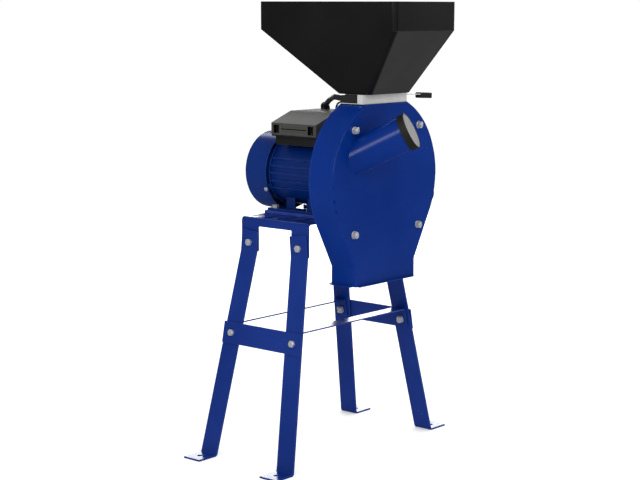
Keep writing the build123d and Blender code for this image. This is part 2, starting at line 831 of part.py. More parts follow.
with BuildPart() as housing_rim:
    with BuildSketch(section(back_front_y)):
        add(drum_outline.sketch)
        offset(amount=-drum_sheet, mode=Mode.SUBTRACT)
    extrude(amount=band_depth)
    with BuildSketch(Plane.XY.offset(spout_z - 1)):
        with Locations((axis_x, drum_middle_y)):
            Rectangle(2 * (spout_half - drum_sheet), 2 * rim_depth)
    extrude(amount=2 * drum_sheet + 2, mode=Mode.SUBTRACT)
    with BuildSketch(Plane.XY.offset(flat_z)):
        with Locations((throat_x, throat_y)):
            Rectangle(throat_length + 8, throat_width + 4)
    extrude(amount=-2 * drum_sheet, mode=Mode.SUBTRACT)
    with BuildSketch(Plane.XY.offset(spout_z)):
        with Locations((axis_x, (back_front_y + skirt_rear_y) / 2)):
            with GridLocations(2 * spout_half + spout_lip, 1, 2, 1):
                Rectangle(spout_lip, band_depth)
    extrude(amount=lip_sheet)
save(housing_rim, "housing_rim")

cob_axis = Vector(0.40, -0.80, 0.44).normalized()
cob_plane = Plane(origin=(cob_x, cover_front_y, cob_z), x_dir=(1, 0.5, 0), z_dir=cob_axis)
with BuildPart() as front_cover:
    with BuildSketch(section(skirt_rear_y)):
        add(drum_outline.sketch)
    extrude(amount=cover_skirt)
    front_edges = front_cover.faces().sort_by(Axis.Y)[0].edges().sort_by(Axis.Z)[1:]
    fillet(front_edges, radius=fold_radius)
    with BuildSketch(section(skirt_rear_y)):
        add(drum_outline.sketch)
        offset(amount=-drum_sheet)
    extrude(amount=cover_skirt - drum_sheet, mode=Mode.SUBTRACT)
    with BuildSketch(Plane.XY.offset(spout_z - 1)):
        with Locations((axis_x, (skirt_rear_y + cover_rear_y) / 2)):
            Rectangle(2 * (spout_half - drum_sheet), cover_skirt - drum_sheet)
    extrude(amount=2 * drum_sheet + 2, mode=Mode.SUBTRACT)
    with BuildSketch(section(cover_rear_y)):
        with Locations(*stud_spots):
            Circle(bolt_radius + bolt_play)
    extrude(amount=drum_sheet, mode=Mode.SUBTRACT)
    with BuildSketch(cob_plane.offset(-40)):
        Circle(cob_radius - cob_wall)
    extrude(amount=80, mode=Mode.SUBTRACT)
    with BuildSketch(Plane.XY.offset(spout_z)):
        with Locations((axis_x, cover_rear_y - spout_lip / 2)):
            Rectangle(2 * (spout_half - fold_radius), spout_lip)
    extrude(amount=lip_sheet)
save(front_cover, "front_cover")

with BuildPart() as cover_studs:
    with BuildSketch(section(back_front_y)):
        with Locations(*stud_spots):
            Circle(bolt_radius)
    extrude(amount=back_front_y - cover_front_y + nut_height + 4)
    chamfer(cover_studs.faces().sort_by(Axis.Y)[:4].edges(), length=0.8)
save(cover_studs, "cover_studs")

with BuildPart() as cover_nuts:
    with BuildSketch(section(cover_front_y)):
        with Locations(*stud_spots):
            Circle(7.8)
            Circle(bolt_radius + bolt_play, mode=Mode.SUBTRACT)
    extrude(amount=1.6)
    with BuildSketch(section(cover_front_y - 1.6)):
        with Locations(*stud_spots):
            RegularPolygon(bolt_flats / 2, 6, major_radius=False)
            Circle(bolt_radius, mode=Mode.SUBTRACT)
    extrude(amount=nut_height)
save(cover_nuts, "cover_nuts")

with BuildPart() as sieve:
    with BuildSketch(section(back_front_y)):
        Circle(sieve_radius + sieve_sheet)
        Circle(sieve_radius, mode=Mode.SUBTRACT)
        with Locations((0, sieve_radius)):
            Rectangle(3 * sieve_radius, 2 * sieve_radius, mode=Mode.SUBTRACT)
    extrude(amount=rim_depth)
    for row in range(4):
        row_y = back_front_y - 12 - 12 * row
        for step in range(27):
            angle = radians(-8 - 6 * step - 3 * (row % 2))
            out = Vector(cos(angle), 0, sin(angle))
            spot = Vector(axis_x, row_y, axis_z) + out * (sieve_radius - 1)
            with BuildSketch(Plane(origin=spot, z_dir=out), mode=Mode.PRIVATE) as hole:
                Circle(3)
            extrude(hole.sketch, amount=sieve_sheet + 2, mode=Mode.SUBTRACT)
save(sieve, "sieve")

with BuildPart() as sieve_supports:
    with BuildSketch(section(back_front_y)):
        with PolarLocations(0, 4, 200, 140 * 4 / 3):
            with Locations((sieve_radius + sieve_sheet + 4.1, 0)):
                Circle(4)
    extrude(amount=rim_depth - 6)
save(sieve_supports, "sieve_supports")

# ================= rotor =================

pin_angles = [45, 135, 225, 315]
with BuildPart() as rotor_hub:
    with BuildSketch(section(disc_rear_y)):
        Circle(24)
    extrude(amount=disc_rear_y - disc_front_y)
    for rear_face in (disc_rear_y, disc_front_y + disc_sheet):
        with BuildSketch(section(rear_face)):
            Circle(disc_radius)
            with PolarLocations(pin_circle, 4, 45):
                Circle(pin_radius, mode=Mode.SUBTRACT)
        extrude(amount=disc_sheet)
    with BuildSketch(section(disc_rear_y)):
        Circle(shaft_radius)
    extrude(amount=disc_rear_y - shaft_front_y + 0.5, mode=Mode.SUBTRACT)
    with BuildSketch(section(shaft_front_y)):
        Circle(hub_bolt_radius + 0.3)
    extrude(amount=20, mode=Mode.SUBTRACT)
    with BuildSketch(section(hub_nose_y)):
        Circle(13)
    extrude(amount=hub_nose_y - disc_front_y, mode=Mode.SUBTRACT)
save(rotor_hub, "rotor_hub")

with BuildPart() as hub_bolt:
    with BuildSketch(section(hub_nose_y)):
        Circle(12)
    extrude(amount=1.5)
    with BuildSketch(section(hub_nose_y - 1.5)):
        RegularPolygon(bolt_flats / 2, 6, major_radius=False)
    extrude(amount=bolt_head)
    with BuildSketch(section(shaft_front_y + 16)):
        Circle(hub_bolt_radius)
    extrude(amount=shaft_front_y + 16 - hub_nose_y)
save(hub_bolt, "hub_bolt")

inner_rear_y = disc_rear_y - disc_sheet
inner_front_y = disc_front_y + disc_sheet
hammer_pitch = (inner_rear_y - inner_front_y - 18) / 3
hammer_rows = [inner_rear_y - 9 - hammer_pitch * number for number in range(4)]
with BuildPart() as hammer_pins:
    with BuildSketch(section(disc_rear_y + 1.5)):
        with PolarLocations(pin_circle, 4, 45):
            Circle(pin_radius)
    extrude(amount=disc_rear_y - disc_front_y + 3)
    for angle, row in zip(pin_angles, hammer_rows):
        gap = hammer_sheet / 2 + 0.3
        for rear_face, front_face in ((inner_rear_y, row + gap), (row - gap, inner_front_y)):
            with BuildSketch(section(rear_face)):
                with PolarLocations(pin_circle, 1, angle):
                    Circle(9)
                    Circle(pin_radius, mode=Mode.SUBTRACT)
            extrude(amount=rear_face - front_face)
save(hammer_pins, "hammer_pins")

# each hammer hangs from its pin, in a row of its own
hammer_drop = hammer_tip - pin_circle
for number, (angle, row) in enumerate(zip(pin_angles, hammer_rows), start=1):
    with BuildPart() as hammer:
        with BuildSketch(section(row + hammer_sheet / 2)):
            with PolarLocations(pin_circle, 1, angle, rotate=False):
                with Locations((0, (hammer_head - hammer_drop) / 2)):
                    Rectangle(hammer_width, hammer_head + hammer_drop)
                Circle(pin_radius + swing_play, mode=Mode.SUBTRACT)
        extrude(amount=hammer_sheet)
        chamfer(hammer.edges().filter_by(Axis.Y).filter_by(GeomType.LINE), length=2)
    save(hammer, f"hammer_{number}")

# ================= cob inlet =================

cap_radius = cob_radius + cap_play + cap_wall
cap_inset = 2.5  # the grey disc, let into the cap
with BuildPart() as cob_tube:
    with BuildSketch(cob_plane.offset(-60)):
        Circle(cob_radius)
        Circle(cob_radius - cob_wall, mode=Mode.SUBTRACT)
    extrude(amount=60 + cob_length - cap_play - cap_inset)
    split(bisect_by=Plane(origin=(0, cover_front_y, 0), z_dir=(0, -1, 0)), keep=Keep.TOP)
save(cob_tube, "cob_tube")

with BuildPart() as cap_rim:
    with BuildSketch(cob_plane.offset(cob_length - cap_skirt)):
        Circle(cap_radius)
        Circle(cob_radius + cap_play, mode=Mode.SUBTRACT)
    extrude(amount=cap_skirt - cap_inset)
    with BuildSketch(cob_plane.offset(cob_length - cap_inset)):
        Circle(cap_radius)
        Circle(cap_radius - 2, mode=Mode.SUBTRACT)
    extrude(amount=cap_inset)
save(cap_rim, "cap_rim")

with BuildPart() as cap_disc:
    with BuildSketch(cob_plane.offset(cob_length - cap_inset)):
        Circle(cap_radius - 2)
    extrude(amount=2)
save(cap_disc, "cap_disc")

# ================= gate housing =================

gate_length = gate_right_x - gate_left_x
gate_middle_x = (gate_left_x + gate_right_x) / 2
ear_x = axis_x - 75
ledge_top = gate_z - gate_plate_sheet / 2 - slide_play
ledge_width = (gate_depth - gate_width) / 2 + 2.5
rivet_x = throat_length / 2 + 7
rivet_spots = [(throat_x + x * rivet_x, throat_y + y * 14) for x in (-1, 1) for y in (-1, 1)]
with BuildPart() as gate_housing:
    with BuildSketch(Plane.XY.offset(flat_z)):
        with Locations(((ear_x + gate_right_x) / 2, throat_y)):
            Rectangle(gate_right_x - ear_x, gate_depth)
    extrude(amount=gate_sheet)
    with BuildSketch(Plane.XY.offset(flat_z)):
        with Locations((gate_middle_x, throat_y)):
            Rectangle(gate_length, gate_depth)
            Rectangle(gate_length - 2 * gate_sheet, gate_depth - 2 * gate_sheet, mode=Mode.SUBTRACT)
        with Locations(((ear_x + gate_left_x) / 2, gate_front_y + gate_sheet / 2)):
            Rectangle(gate_left_x - ear_x, gate_sheet)
        with Locations((ear_x + gate_sheet / 2, gate_front_y + 7)):
            Rectangle(gate_sheet, 14)
    extrude(amount=gate_top_z - flat_z)
    with BuildSketch(Plane.XY.offset(gate_top_z)):
        with Locations((gate_middle_x, throat_y)):
            Rectangle(gate_length, gate_depth)
    extrude(amount=-gate_sheet)
    with BuildSketch(Plane.XY.offset(ledge_top)):
        for y in (gate_front_y + ledge_width / 2, gate_rear_y - ledge_width / 2):
            with Locations((gate_middle_x, y)):
                Rectangle(gate_length - 1, ledge_width)
    extrude(amount=-gate_sheet)
    with BuildSketch(Plane.XY.offset(flat_z)):
        with Locations((throat_x, throat_y)):
            Rectangle(throat_length, throat_width)
    extrude(amount=gate_top_z - flat_z, mode=Mode.SUBTRACT)
    slot_half = gate_plate_sheet / 2 + slide_play
    with BuildSketch(Plane.YZ.offset(gate_right_x - 2 * gate_sheet)):
        with Locations((throat_y, gate_z)):
            Rectangle(gate_width + 2 * slide_play, 2 * slot_half)
    extrude(amount=3 * gate_sheet, mode=Mode.SUBTRACT)
    with BuildSketch(Plane.XY.offset(gate_top_z)):
        with Locations(*rivet_spots):
            Circle(2.2)
    extrude(amount=-gate_sheet, mode=Mode.SUBTRACT)
save(gate_housing, "gate_housing")

tongue_bend_x = gate_right_x + 4
tongue_end_x = gate_right_x + tongue_length
droop = radians(2.4)
plate_top = gate_z + gate_plate_sheet / 2
with BuildPart() as gate_plate:
    plate_left = gate_left_x + gate_sheet + 6
    plate_right = gate_right_x - gate_sheet - 1
    with BuildSketch(Plane.XY.offset(gate_z - gate_plate_sheet / 2)):
        with Locations(((plate_left + plate_right) / 2, throat_y)):
            RectangleRounded(plate_right - plate_left, gate_width, 2)
    extrude(amount=gate_plate_sheet)
    with BuildSketch(Plane.XZ.offset(-throat_y)):
        with BuildLine():
            FilletPolyline(
                (plate_right - 10, plate_top),
                (tongue_bend_x, plate_top),
                (tongue_end_x, plate_top - (tongue_end_x - tongue_bend_x) * tan(droop)),
                radius=20,
            )
            offset(amount=gate_plate_sheet, side=Side.RIGHT)
        make_face()
    extrude(amount=7, both=True)
save(gate_plate, "gate_plate")

grip_start = Vector(tongue_end_x - 34, throat_y, gate_z - 5.2)
grip_end = Vector(tongue_end_x + 6, throat_y, gate_z - 7.4)
grip_dir = (grip_end - grip_start).normalized()
with BuildPart() as gate_grip:
    with BuildSketch(Plane(origin=grip_start, x_dir=(0, 1, 0), z_dir=grip_dir)):
        RectangleRounded(15, 12, 2.5)
    extrude(amount=(grip_end - grip_start).length)
    fillet(gate_grip.faces().sort_by(Axis.X)[-1].edges(), radius=1.5)
    with BuildSketch(Plane.XZ.offset(-throat_y)):
        with BuildLine():
            cut_x = tongue_end_x - 45
            start_z = plate_top - (cut_x - tongue_bend_x) * tan(droop)
            end_z = plate_top - (tongue_end_x - tongue_bend_x) * tan(droop)
            Polyline(
                (cut_x, start_z + 0.02),
                (tongue_end_x + 0.1, end_z + 0.02),
                (tongue_end_x + 0.1, end_z - gate_plate_sheet - 0.02),
                (cut_x, start_z - gate_plate_sheet - 0.02),
                close=True,
            )
        make_face()
    extrude(amount=7.02, both=True, mode=Mode.SUBTRACT)
save(gate_grip, "gate_grip")

# ================= hopper =================

bottom_plane = Plane.XY.offset(gate_top_z)
slope_plane = Plane.XY.offset(hopper_slope_z)
with BuildPart() as hopper:
    for inset, action in ((0, Mode.ADD), (hopper_wall, Mode.SUBTRACT)):
        corner = hopper_corner - inset / 2
        with BuildSketch(bottom_plane):
            with Locations((axis_x, hopper_bottom_y)):
                RectangleRounded(hopper_bottom_length - 2 * inset, hopper_bottom_depth - 2 * inset, corner)
        with BuildSketch(slope_plane) as mouth:
            with Locations((axis_x, hopper_top_y)):
                RectangleRounded(hopper_top_length - 2 * inset, hopper_top_depth - 2 * inset, corner)
        loft(mode=action)
        extrude(mouth.sketch, amount=hopper_skirt, mode=action)
    fillet(hopper.edges().group_by(Axis.Z)[-1], radius=1)
    with BuildSketch(bottom_plane):
        with Locations((axis_x, hopper_bottom_y)):
            RectangleRounded(hopper_bottom_length - 4, hopper_bottom_depth - 4, hopper_corner - 2)
        with Locations((throat_x, throat_y)):
            Rectangle(throat_length, throat_width, mode=Mode.SUBTRACT)
    extrude(amount=hopper_wall)
    with BuildSketch(bottom_plane):
        with Locations(*rivet_spots):
            Circle(2.2)
    extrude(amount=hopper_wall, mode=Mode.SUBTRACT)
save(hopper, "hopper")

with BuildPart() as hopper_rivets:
    with BuildSketch(Plane.XY.offset(gate_top_z + hopper_wall)):
        with Locations(*rivet_spots):
            Circle(4)
    extrude(amount=1.6)
    with BuildSketch(Plane.XY.offset(gate_top_z + hopper_wall)):
        with Locations(*rivet_spots):
            Circle(2.15)
    extrude(amount=-(hopper_wall + gate_sheet + 1.2))
    with BuildSketch(Plane.XY.offset(gate_top_z - gate_sheet)):
        with Locations(*rivet_spots):
            Circle(3.4)
    extrude(amount=-1.2)
save(hopper_rivets, "hopper_rivets")

# ================= interlock and leads =================

interlock_front_y = gate_front_y + 15
interlock_rear_y = gate_rear_y - 2.5
with BuildPart() as interlock_switch:
    with BuildSketch(Plane.XY.offset(flat_z + gate_sheet)):
        with Locations(((ear_x + gate_left_x) / 2, (interlock_front_y + interlock_rear_y) / 2)):
            Rectangle(gate_left_x - ear_x, interlock_rear_y - interlock_front_y)
    extrude(amount=gate_top_z - flat_z - gate_sheet - 2)
    fillet(interlock_switch.edges(), radius=1)
save(interlock_switch, "interlock_switch")


def route_radii(points):
    # as large as each pair of runs allows
    radii = []
    for before, spot, after in zip(points, points[1:], points[2:]):
        turn = radians((spot - before).get_angle(after - spot))
        radii.append(0.45 * min((spot - before).length, (after - spot).length) / tan(turn / 2))
    return radii


def make_lead(points, radius, name):
    radii = route_radii(points)
    with BuildPart() as lead:
        with BuildLine() as path:
            FilletPolyline(*points, radius=radii)
        start = Plane(origin=points[0], z_dir=points[1] - points[0])
        with BuildSketch(start):
            Circle(radius)
        sweep()
    whole = path.wire().length
    print(name, "length", round(whole, 1), "radii", [round(r) for r in radii])
    print("   volume", round(lead.part.volume), "section x length", round(pi * radius**2 * whole))
    save(lead, name)


lead_route = [
    Vector(74, 47, 725),
    Vector(52, 22, 735),
    Vector(24, -10, 743),
    Vector(-5, -40, 748),
    Vector(-30, -64, 751.5),
    Vector(-50, -88, 752),
    Vector(-58.5, interlock_rear_y, 750.5),
]
make_lead(lead_route, lead_radius, "interlock_lead")

wire_route = [
    Vector(-52.2, interlock_rear_y, 744.9),
    Vector(-51.5, -100, 743.4),
    Vector(-45, -84, 738),
    Vector(-41, -77, 722),
    Vector(-38, -70, 706),
    Vector(-36.5, -60, 694),
    Vector(-36, box_front_y - 3, 690),
]
make_lead(wire_route, wire_radius, "interlock_wire")

boot_dir = (lead_route[1] - lead_route[0]).normalized()
with BuildPart() as cable_glands:
    boot_plane = Plane(origin=lead_route[0], z_dir=boot_dir)
    with BuildSketch(boot_plane.offset(-13)):
        Circle(lead_radius + 4)
    with BuildSketch(boot_plane):
        Circle(lead_radius + 1.2)
    loft()
    boot_foot = lead_route[0] - boot_dir * 8
    with BuildSketch(Plane(origin=(boot_foot.X, boot_foot.Y, box_top_z), z_dir=(0, 0, 1))):
        Circle(lead_radius + 4)
    extrude(amount=5)
    split(bisect_by=Plane.XY.offset(box_top_z), keep=Keep.TOP)
    with BuildSketch(Plane(origin=(wire_route[-1].X, box_front_y, wire_route[-1].Z), z_dir=(0, -1, 0))):
        Circle(4.5)
    extrude(amount=3)
    inlet = Plane(origin=(axis_x + 47, box_rear_y, box_split_z + 22), x_dir=(1, 0, 0), z_dir=(0, 1, 0))
    with BuildSketch(inlet):
        RegularPolygon(11, 6, major_radius=False)
    extrude(amount=5)
    with BuildSketch(inlet.offset(5)):
        Circle(10)
    extrude(amount=9)
    with BuildSketch(inlet.offset(14)):
        Circle(7)
    extrude(amount=4)
    with BuildSketch(inlet.offset(6)):
        Circle(4)
    extrude(amount=12, mode=Mode.SUBTRACT)
save(cable_glands, "cable_glands")
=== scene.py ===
import bpy, bmesh, json
import numpy as np
from math import atan2, cos, pi, radians, sin
from mathutils import Matrix, Vector


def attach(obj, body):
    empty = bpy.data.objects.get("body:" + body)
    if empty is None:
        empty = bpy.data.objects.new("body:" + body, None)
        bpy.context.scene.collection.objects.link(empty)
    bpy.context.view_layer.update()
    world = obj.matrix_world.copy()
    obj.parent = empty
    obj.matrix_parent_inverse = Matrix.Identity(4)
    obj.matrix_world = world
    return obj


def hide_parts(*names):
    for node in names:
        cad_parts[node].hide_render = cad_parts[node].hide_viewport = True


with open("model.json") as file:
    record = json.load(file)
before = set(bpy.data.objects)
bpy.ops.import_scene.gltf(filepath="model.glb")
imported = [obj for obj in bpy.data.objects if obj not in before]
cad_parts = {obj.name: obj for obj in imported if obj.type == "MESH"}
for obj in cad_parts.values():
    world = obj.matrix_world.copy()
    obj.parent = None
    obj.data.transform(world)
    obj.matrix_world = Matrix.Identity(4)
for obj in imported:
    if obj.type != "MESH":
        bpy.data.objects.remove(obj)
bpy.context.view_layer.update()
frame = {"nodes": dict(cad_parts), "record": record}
nodes = frame["nodes"]
bodyOf = {n: b for b, members in frame["record"]["behaviour"]["bodies"].items() for n in members}
print("frame loaded:", len(nodes), "nodes")

scene = bpy.context.scene
scene.view_settings.view_transform = "Standard"

# ---- camera ----
cameraSettings = {
    "place": (-2.5088, -2.1556, 0.93953),
    "azimuth": -49.3387,  # degrees
    "pitch": 8.5479,
    "roll": 0.1333,
    "lens": 88.18,
}


def makeCamera(s):
    az, pitch, roll = (radians(s[k]) for k in ("azimuth", "pitch", "roll"))
    back = Vector((sin(az) * cos(pitch), -cos(az) * cos(pitch), sin(pitch)))
    right = Vector((cos(az), sin(az), 0))
    up = back.cross(right)
    turned = Matrix((right, up, back)).transposed().to_4x4() @ Matrix.Rotation(roll, 4, "Z")
    data = bpy.data.cameras.new("camera")
    data.lens = s["lens"]
    data.sensor_width = 36
    data.clip_end = 100
    camera = bpy.data.objects.new("camera", data)
    camera.matrix_world = Matrix.Translation(s["place"]) @ turned
    scene.collection.objects.link(camera)
    scene.camera = camera


makeCamera(cameraSettings)

# ---- shader helpers ----


class Wire:
    # an output of a node, so that shader maths reads as plain sums
    def __init__(self, tree, socket):
        self.tree = tree
        self.socket = socket

    def node(self, kind, settings=None, inputs=None, out=0):
        made = self.tree.nodes.new(kind)
        for key, value in (settings or {}).items():
            setattr(made, key, value)
        for key, value in (inputs or {}).items():
            socket = made.inputs[key]
            if isinstance(value, Wire):
                self.tree.links.new(value.socket, socket)
            else:
                socket.default_value = value
        return Wire(self.tree, made.outputs[out])

    def sum(self, operation, a, b):
        return self.node("ShaderNodeMath", {"operation": operation}, {0: a, 1: b})

    def __add__(self, other):
        return self.sum("ADD", self, other)

    def __radd__(self, other):
        return self.sum("ADD", other, self)

    def __sub__(self, other):
        return self.sum("SUBTRACT", self, other)

    def __rsub__(self, other):
        return self.sum("SUBTRACT", other, self)

    def __mul__(self, other):
        return self.sum("MULTIPLY", self, other)

    def __rmul__(self, other):
        return self.sum("MULTIPLY", other, self)

    def clip(self, low, high):
        span = {"From Min": low, "From Max": high}
        return self.node("ShaderNodeMapRange", {"clamp": True}, {"Value": self, **span})

    def mixed(self, first, second):
        # first where this is 0, second where it is 1
        ends = {"Factor": self, 6: first, 7: second}
        return self.node("ShaderNodeMix", {"data_type": "RGBA"}, ends, out=2)


class Finish:
    def __init__(self, name, **fixed):
        self.material = bpy.data.materials.new(name)
        self.material.use_nodes = True
        self.tree = self.material.node_tree
        self.shader = self.tree.nodes["Principled BSDF"]
        for key, value in fixed.items():
            self.shader.inputs[key.replace("_", " ")].default_value = value
        start = self.tree.nodes.new("ShaderNodeTexCoord")
        self.place = Wire(self.tree, start.outputs["Object"])

    def node(self, *args, **more):
        return self.place.node(*args, **more)

    def stretched(self, scale, turn=(0, 0, 0)):
        inputs = {"Vector": self.place, "Scale": scale, "Rotation": turn}
        return self.node("ShaderNodeMapping", None, inputs)

    def noise(self, scale, detail=3, rough=0.5, place=None):
        inputs = {"Vector": place or self.place, "Scale": scale, "Detail": detail, "Roughness": rough}
        return self.node("ShaderNodeTexNoise", None, inputs)

    def attribute(self, name):
        return self.node("ShaderNodeAttribute", {"attribute_name": name}, None, out=2)

    def set(self, name, wire):
        self.tree.links.new(wire.socket, self.shader.inputs[name])

    def bump(self, height, distance, strength):
        inputs = {"Height": height, "Distance": distance, "Strength": strength}
        return self.node("ShaderNodeBump", None, inputs)


def rgba(red, green, blue):
    return (red, green, blue, 1)


# ---- finishes ----
# "light" is the tone of the edges, worn and lightened as a painted highlight
paintSettings = {
    "drumPaint": {
        "colour": (0.000, 0.0165, 0.140), "light": (0.010, 0.045, 0.260), "rough": 0.20, "shine": 0.20,
    },
    "motorPaint": {
        "colour": (0.000, 0.016, 0.120), "light": (0.020, 0.060, 0.320), "rough": 0.22, "shine": 0.36,
    },
    "standPaint": {
        "colour": (0.002, 0.018, 0.145), "light": (0.020, 0.050, 0.240), "rough": 0.20, "shine": 0.42,
    },
    # a lighter copy of the stand paint, a painted highlight on the rails
    "railPaintedHighlight": {
        "colour": (0.018, 0.042, 0.250), "light": (0.040, 0.080, 0.340), "rough": 0.26, "shine": 0.50,
    },
}


def paint(name, s):
    f = Finish(name, Specular_IOR_Level=s["shine"])
    cloud = f.noise(5, 4).clip(0.35, 0.7)  # slow change of tone over a panel
    grain = f.noise(140, 3).clip(0.42, 0.62)
    rub = f.attribute("rub") * f.noise(35, 2, 0.5).clip(0.20, 0.70)  # paint worn thin on the folded edges, and a painted highlight along them
    colour = cloud.mixed(rgba(*s["colour"]), rgba(*[1.25 * c + 0.001 for c in s["colour"]]))
    colour = (rub * 0.75).mixed(colour, rgba(*s["light"]))
    dust = f.noise(22, 6, 0.65).clip(0.58, 0.80)
    colour = (dust * 0.003).mixed(colour, rgba(0.25, 0.27, 0.33))
    f.set("Base Color", colour)
    f.set("Roughness", s["rough"] + cloud * 0.05 + grain * 0.03 + dust * 0.02)
    peel = f.noise(620, 2, 0.4) * 0.7 + f.noise(210, 2, 0.4)  # orange peel of a sprayed enamel
    f.set("Normal", f.bump(peel, 0.00004, 0.4))
    return f.material


# "lines" is how close the marks of rolling or turning lie along X, Y and Z
metalSettings = {
    "zinc": {
        "colour": (0.80, 0.82, 0.84), "dull": (0.60, 0.61, 0.62), "rough": 0.24,
        "lines": (300, 300, 300), "metallic": 0.7,
    },
    "gateSheet": {
        "colour": (0.62, 0.62, 0.615), "dull": (0.50, 0.50, 0.495), "rough": 0.32,
        "lines": (20, 700, 700), "metallic": 0.25,
    },
    "groundSteel": {
        "colour": (0.60, 0.61, 0.63), "dull": (0.45, 0.45, 0.46), "rough": 0.24,
        "lines": (700, 20, 700),
    },
    "rotorSteel": {
        "colour": (0.42, 0.42, 0.44), "dull": (0.26, 0.26, 0.27), "rough": 0.38,
        "lines": (500, 500, 500),
    },
    "hammerSteel": {
        "colour": (0.30, 0.29, 0.29), "dull": (0.17, 0.15, 0.14), "rough": 0.42,
        "lines": (60, 500, 400),
    },
    "sieveSteel": {
        "colour": (0.58, 0.58, 0.60), "dull": (0.40, 0.40, 0.41), "rough": 0.32,
        "lines": (400, 30, 400),
    },
    "darkScrew": {
        "colour": (0.10, 0.10, 0.10), "dull": (0.05, 0.05, 0.05), "rough": 0.35,
        "lines": (400, 400, 400),
    },
    "studBrass": {
        "colour": (0.78, 0.58, 0.22), "dull": (0.52, 0.36, 0.13), "rough": 0.26,
        "lines": (400, 400, 400),
    },
}


def metal(name, s):
    f = Finish(name, Metallic=s.get("metallic", 1.0))
    lines = f.noise(1.0, 3, 0.55, f.stretched(s["lines"]))
    stain = f.noise(45, 5, 0.6).clip(0.40, 0.68)
    tone = (lines.clip(0.35, 0.65) * 0.35 + stain * 0.5).clip(0, 1)
    f.set("Base Color", tone.mixed(rgba(*s["colour"]), rgba(*s["dull"])))
    f.set("Roughness", s["rough"] + stain * 0.14 + lines * 0.12)
    f.set("Normal", f.bump(lines, 0.00005, 0.4))
    return f.material


# "grain" is how fine the moulded skin is, and "deep" its height in metres
plasticSettings = {
    "hopperPlastic": {
        "colour": (0.0040, 0.0040, 0.0042), "light": (0.0075, 0.0075, 0.0078), "rough": 0.40,
        "grain": 900, "deep": 0.00005, "shine": 0.42,
    },
    "boxCover": {
        "colour": (0.040, 0.039, 0.037), "light": (0.058, 0.056, 0.053), "rough": 0.44, "grain": 1300,
        "deep": 0.00006, "shine": 0.45,
    },
    "boxBase": {
        "colour": (0.006, 0.006, 0.006), "light": (0.012, 0.012, 0.012), "rough": 0.48, "grain": 1300,
        "deep": 0.00006, "shine": 0.4,
    },
    "fanPlastic": {
        "colour": (0.020, 0.020, 0.022), "light": (0.03, 0.03, 0.032), "rough": 0.52, "grain": 900,
        "deep": 0.00005, "shine": 0.4,
    },
    "gripPlastic": {
        "colour": (0.008, 0.008, 0.008), "light": (0.018, 0.018, 0.018), "rough": 0.42, "grain": 1500,
        "deep": 0.00005, "shine": 0.45,
    },
    "interlockPlastic": {
        "colour": (0.011, 0.011, 0.011), "light": (0.020, 0.020, 0.020), "rough": 0.40, "grain": 1500,
        "deep": 0.00005, "shine": 0.45,
    },
    "capRubber": {
        "colour": (0.009, 0.009, 0.008), "light": (0.020, 0.020, 0.019), "rough": 0.58, "grain": 800,
        "deep": 0.00008, "shine": 0.35,
    },
    "capGrey": {
        "colour": (0.22, 0.22, 0.217), "light": (0.27, 0.27, 0.265), "rough": 0.42, "grain": 1200,
        "deep": 0.00005, "shine": 0.45,
    },
    "leadSheath": {
        "colour": (0.010, 0.010, 0.010), "light": (0.022, 0.022, 0.022), "rough": 0.34, "grain": 700,
        "deep": 0.00005, "shine": 0.5,
    },
    "startGreen": {
        "colour": (0.010, 0.230, 0.045), "light": (0.02, 0.30, 0.07), "rough": 0.24, "grain": 900,
        "deep": 0.00002, "shine": 0.5,
    },
    "stopRed": {
        "colour": (0.420, 0.012, 0.010), "light": (0.52, 0.03, 0.025), "rough": 0.24, "grain": 900,
        "deep": 0.00002, "shine": 0.5,
    },
    "capacitorShell": {
        "colour": (0.50, 0.50, 0.47), "light": (0.58, 0.58, 0.55), "rough": 0.40, "grain": 900,
        "deep": 0.00004, "shine": 0.45,
    },
}


def plastic(name, s):
    f = Finish(name, Specular_IOR_Level=s["shine"])
    cloud = f.noise(9, 4, 0.55).clip(0.32, 0.70)
    grain = f.noise(s["grain"], 2, 0.5)
    handling = f.stretched((30, 30, 220), (0.5, 0.3, 0))
    scuff = f.noise(1.0, 4, 0.7, handling).clip(0.60, 0.78)  # faint marks of handling
    # edges worn, and lightened as a painted highlight
    rub = f.attribute("rub") * f.noise(80, 3, 0.6).clip(0.25, 0.60)
    colour = (cloud * 0.55).mixed(rgba(*s["colour"]), rgba(*s["light"]))
    worn = rgba(*[min(1, 1.8 * c + 0.01) for c in s["light"]])
    colour = (rub * 0.6 + scuff * 0.05).clip(0, 1).mixed(colour, worn)
    colour = (f.attribute("hollow") * 0.95).mixed(colour, rgba(0.001, 0.001, 0.001))  # painted shade in the recesses
    f.set("Base Color", colour)
    f.set("Roughness", s["rough"] + cloud * 0.06 + grain * 0.05 + scuff * 0.06)
    f.set("Normal", f.bump(grain, s["deep"], 0.6))
    return f.material


def stackedIron(name):
    # thin sheets pressed together along the shaft
    f = Finish(name, Metallic=0.6, Specular_IOR_Level=0.4)
    inputs = {"Vector": f.place, "Scale": 160, "Distortion": 0.3}
    sheets = f.node("ShaderNodeTexWave", {"bands_direction": "Y"}, inputs)
    rust = f.noise(70, 5, 0.65).clip(0.55, 0.75)
    colour = sheets.clip(0.2, 0.9).mixed(rgba(0.09, 0.09, 0.10), rgba(0.24, 0.24, 0.26))
    f.set("Base Color", (rust * 0.35).mixed(colour, rgba(0.20, 0.09, 0.04)))
    f.set("Roughness", 0.45 + rust * 0.25)
    f.set("Normal", f.bump(sheets, 0.0001, 0.5))
    return f.material


